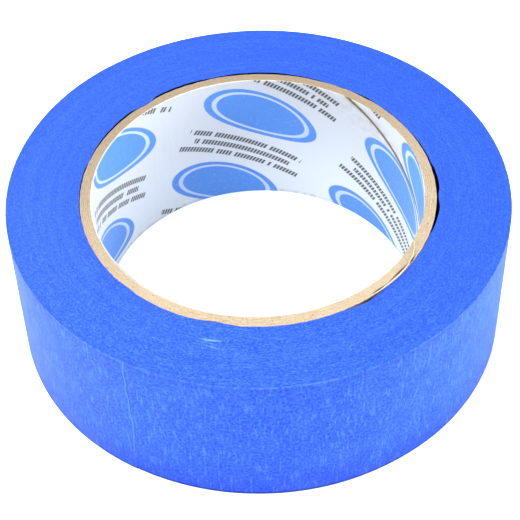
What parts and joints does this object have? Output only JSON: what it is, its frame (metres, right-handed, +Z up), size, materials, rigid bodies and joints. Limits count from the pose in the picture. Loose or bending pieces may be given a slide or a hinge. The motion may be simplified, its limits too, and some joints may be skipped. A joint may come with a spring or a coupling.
{
  "type": "masking tape roll",
  "caption": "Roll of blue crepe-paper masking tape on a spiral-wound cardboard core with a printed white liner, its free end stuck flat and able to peel back.",
  "frame": {"origin": "on the core's axis, at the roll's bottom face", "axes": "+Z up along the core's axis, through the roll's width; +X to the right and +Y to the back, with the tape's cut edge at 240 degrees from +X"},
  "size_m": [0.1151, 0.1151, 0.038],
  "materials": {
    "liner_paper": "smooth coated white paper with a light blue print",
    "core_board": "raw kraft board, cut square at both ends",
    "crepe_tape": "matte blue crepe paper with fine wrinkles across its length"
  },
  "bodies": {
    "root": {"core_liner": "liner_paper", "core_ply_1": "core_board", "core_ply_2": "core_board", "core_ply_3": "core_board", "core_ply_4": "core_board", "core_ply_5": "core_board", "wound_tape": "crepe_tape", "outer_turn": "crepe_tape"},
    "tape_end": {"free_end": "crepe_tape"}
  },
  "joints": [
    {"name": "free_end_peel", "type": "hinge", "parent": "root", "child": "tape_end", "pos_m": [-0.04661, -0.03396, 0.019], "axis": [0, 0, -1], "range_deg": [0, 150]}
  ]
}
